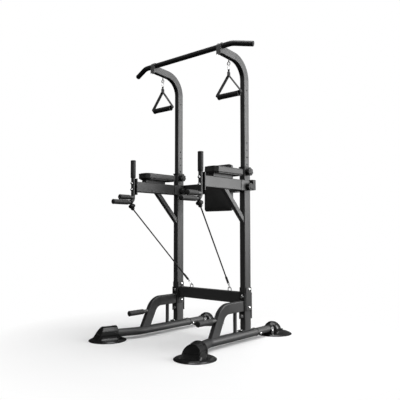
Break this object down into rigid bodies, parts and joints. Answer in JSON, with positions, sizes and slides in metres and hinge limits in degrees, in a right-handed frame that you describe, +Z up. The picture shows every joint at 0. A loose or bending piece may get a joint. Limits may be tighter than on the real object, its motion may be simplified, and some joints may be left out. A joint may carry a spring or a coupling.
{
  "type": "power tower",
  "caption": "Free-standing power tower: telescoping uprights, swept pull-up bar, dip arms with forearm pads, backrest, push-up bars, hanging handles and resistance ropes on suction feet.",
  "frame": {"origin": "on the floor, on the centre plane, midway between the front and rear edges of the feet", "axes": "+Z up; the machine faces -Y, where the push-up bars and pull-up bar are; X runs from one upright to the other, with -X the viewer's left when facing the machine from -Y"},
  "size_m": [0.985, 1.0718, 1.7656],
  "materials": {
    "powder_coat": "satin black powder coat",
    "plate_coat": "satin black powder coat on flat plates",
    "saddle_coat": "grey powder coat",
    "bolt_chrome": "bright domed bolts",
    "hook_steel": "bright wire",
    "foot_rubber": "glossy moulded rubber",
    "grip_foam": "foam rubber sleeves",
    "moulded_black": "fine-grained moulded plastic",
    "vinyl": "black synthetic leather",
    "board": "dark painted plywood",
    "webbing": "woven webbing and braided rope"
  },
  "bodies": {
    "base_frame": {"base_rails": "powder_coat", "rail_extensions": "powder_coat", "extension_bolts": "bolt_chrome", "rail_end_rings": "moulded_black", "shoes_front": "foot_rubber", "shoes_rear": "foot_rubber", "suction_feet": "foot_rubber", "arches": "powder_coat", "arch_posts": "powder_coat", "pushup_bars": "powder_coat", "pushup_grips": "grip_foam", "foot_plates": "plate_coat", "foot_bolts": "bolt_chrome", "lower_upright_left": "powder_coat", "lower_upright_right": "powder_coat", "upright_collars": "moulded_black", "arch_flanges": "plate_coat", "flange_bolts": "bolt_chrome", "cross_beam": "powder_coat", "beam_plates": "plate_coat", "beam_bolts": "bolt_chrome", "beam_eyes": "powder_coat", "dip_arms": "powder_coat", "arm_braces": "powder_coat", "arm_end_plates": "plate_coat", "dip_bars": "powder_coat", "dip_bar_bolts": "bolt_chrome", "forearm_grips": "grip_foam", "dip_grips": "grip_foam", "arm_pads": "vinyl", "arm_pad_plates": "plate_coat", "back_yoke": "powder_coat", "yoke_caps": "moulded_black", "yoke_bolts": "bolt_chrome", "backrest_pad": "vinyl", "backrest_board": "board", "rope_links": "hook_steel", "ropes": "webbing"},
    "upper_frame": {"upper_tube_left": "powder_coat", "upper_tube_right": "powder_coat", "tube_guides": "moulded_black", "pull_up_bar": "powder_coat", "bar_end_caps": "moulded_black", "bar_saddles": "saddle_coat", "bar_screws": "bolt_chrome", "bar_eyes": "powder_coat"},
    "upper_left_knob": {"knob_upper_left": "moulded_black"},
    "upper_right_knob": {"knob_upper_right": "moulded_black"},
    "lower_left_knob": {"knob_lower_left": "moulded_black"},
    "lower_right_knob": {"knob_lower_right": "moulded_black"},
    "left_carabiner": {"carabiner_left": "hook_steel"},
    "right_carabiner": {"carabiner_right": "hook_steel"},
    "left_gate": {"gate_left": "hook_steel"},
    "right_gate": {"gate_right": "hook_steel"},
    "left_strap": {"handle_strap_left": "webbing"},
    "right_strap": {"handle_strap_right": "webbing"},
    "left_grip": {"handle_grip_left": "grip_foam"},
    "right_grip": {"handle_grip_right": "grip_foam"},
    "left_rope_gate": {"rope_gate_left": "hook_steel"},
    "right_rope_gate": {"rope_gate_right": "hook_steel"}
  },
  "joints": [
    {"name": "height_slide", "type": "slide", "parent": "base_frame", "child": "upper_frame", "axis": [0, 0, 1], "range_m": [-0.045, 0.54]},
    {"name": "upper_left_pin", "type": "slide", "parent": "base_frame", "child": "upper_left_knob", "axis": [1, 0, 0], "range_m": [-0.0055, 0.003]},
    {"name": "upper_right_pin", "type": "slide", "parent": "base_frame", "child": "upper_right_knob", "axis": [1, 0, 0], "range_m": [-0.0055, 0.003]},
    {"name": "lower_left_pin", "type": "slide", "parent": "base_frame", "child": "lower_left_knob", "axis": [1, 0, 0], "range_m": [-0.0055, 0.003]},
    {"name": "lower_right_pin", "type": "slide", "parent": "base_frame", "child": "lower_right_knob", "axis": [1, 0, 0], "range_m": [-0.0055, 0.003]},
    {"name": "left_hook_swing", "type": "hinge", "parent": "upper_frame", "child": "left_carabiner", "pos_m": [-0.28, -0.03909, 1.649], "axis": [1, 0, 0], "range_deg": [-60, 35]},
    {"name": "left_gate_hinge", "type": "hinge", "parent": "left_carabiner", "child": "left_gate", "pos_m": [-0.28, -0.03209, 1.6296], "axis": [1, 0, 0], "range_deg": [0, 20]},
    {"name": "left_handle_swing", "type": "hinge", "parent": "left_carabiner", "child": "left_strap", "pos_m": [-0.28, -0.03909, 1.62], "axis": [0, 1, 0], "range_deg": [-30, 30]},
    {"name": "left_grip_spin", "type": "hinge", "parent": "left_strap", "child": "left_grip", "pos_m": [-0.28, -0.03909, 1.467], "axis": [1, 0, 0], "continuous": true},
    {"name": "right_hook_swing", "type": "hinge", "parent": "upper_frame", "child": "right_carabiner", "pos_m": [0.28, -0.03909, 1.649], "axis": [1, 0, 0], "range_deg": [-60, 35]},
    {"name": "right_gate_hinge", "type": "hinge", "parent": "right_carabiner", "child": "right_gate", "pos_m": [0.28, -0.03209, 1.6296], "axis": [1, 0, 0], "range_deg": [0, 20]},
    {"name": "right_handle_swing", "type": "hinge", "parent": "right_carabiner", "child": "right_strap", "pos_m": [0.28, -0.03909, 1.62], "axis": [0, 1, 0], "range_deg": [-30, 30]},
    {"name": "right_grip_spin", "type": "hinge", "parent": "right_strap", "child": "right_grip", "pos_m": [0.28, -0.03909, 1.467], "axis": [1, 0, 0], "continuous": true},
    {"name": "left_rope_gate_hinge", "type": "hinge", "parent": "base_frame", "child": "left_rope_gate", "pos_m": [-0.16071, 0.11107, 0.30981], "axis": [-0.9596, 0.2813, 0], "range_deg": [0, 18]},
    {"name": "right_rope_gate_hinge", "type": "hinge", "parent": "base_frame", "child": "right_rope_gate", "pos_m": [0.16071, 0.11107, 0.30981], "axis": [-0.9596, -0.2813, 0], "range_deg": [0, 18]}
  ]
}
